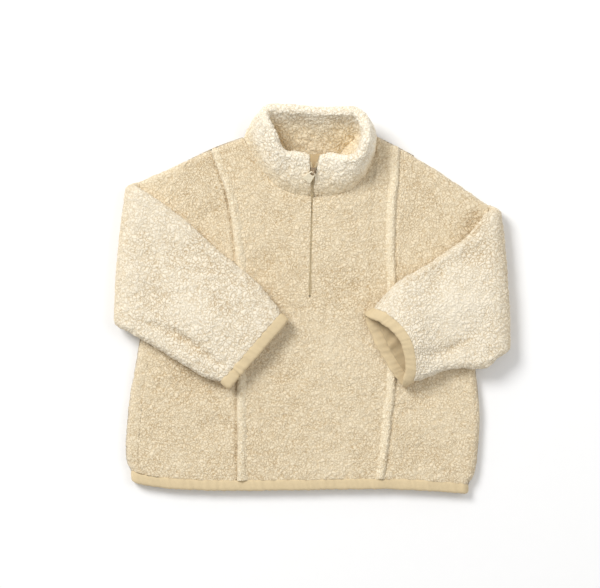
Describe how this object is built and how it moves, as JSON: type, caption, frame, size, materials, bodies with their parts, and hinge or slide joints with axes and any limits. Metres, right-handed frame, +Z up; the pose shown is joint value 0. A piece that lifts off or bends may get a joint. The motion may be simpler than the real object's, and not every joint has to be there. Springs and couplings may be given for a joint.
{
  "type": "sherpa fleece pullover",
  "caption": "Child's sherpa fleece pullover with stand collar and half zip, lying flat with both sleeves folded over the front and the right cuff open.",
  "frame": {"origin": "middle of the garment's box, on the surface it lies on", "axes": "+Z up out of the surface, +Y from hem to collar, +X to the right as seen from above, which is the wearer's left"},
  "size_m": [0.4336, 0.4264, 0.0538],
  "materials": {
    "fleece": "curly sherpa pile, matt",
    "band": "plain woven binding, matt",
    "lining": "plain smooth lining, matt",
    "zip_tape": "woven zip tape with a nylon coil",
    "slider_metal": "beige enamel, satin",
    "tab_enamel": "cream enamel, satin"
  },
  "bodies": {
    "garment": {"back_panel": "fleece", "front_centre_panel": "fleece", "front_side_panel_left": "fleece", "front_side_panel_right": "fleece", "lapped_seam_left": "fleece", "lapped_seam_right": "fleece", "sleeve_left": "fleece", "sleeve_right": "fleece", "collar": "fleece", "cuff_band_left": "band", "cuff_band_right": "band", "hem_band": "band", "neck_lining": "lining", "cuff_lining": "lining", "zip_tape_left": "zip_tape", "zip_tape_right": "zip_tape", "zip_slider": "slider_metal"},
    "pull_tab": {"zip_pull_tab": "tab_enamel"}
  },
  "joints": [
    {"name": "pull_tab_hinge", "type": "hinge", "parent": "garment", "child": "pull_tab", "pos_m": [0.00131, 0.13748, 0.038], "axis": [-0.7756, 0.5527, 0.305], "range_deg": [0, 120]}
  ]
}
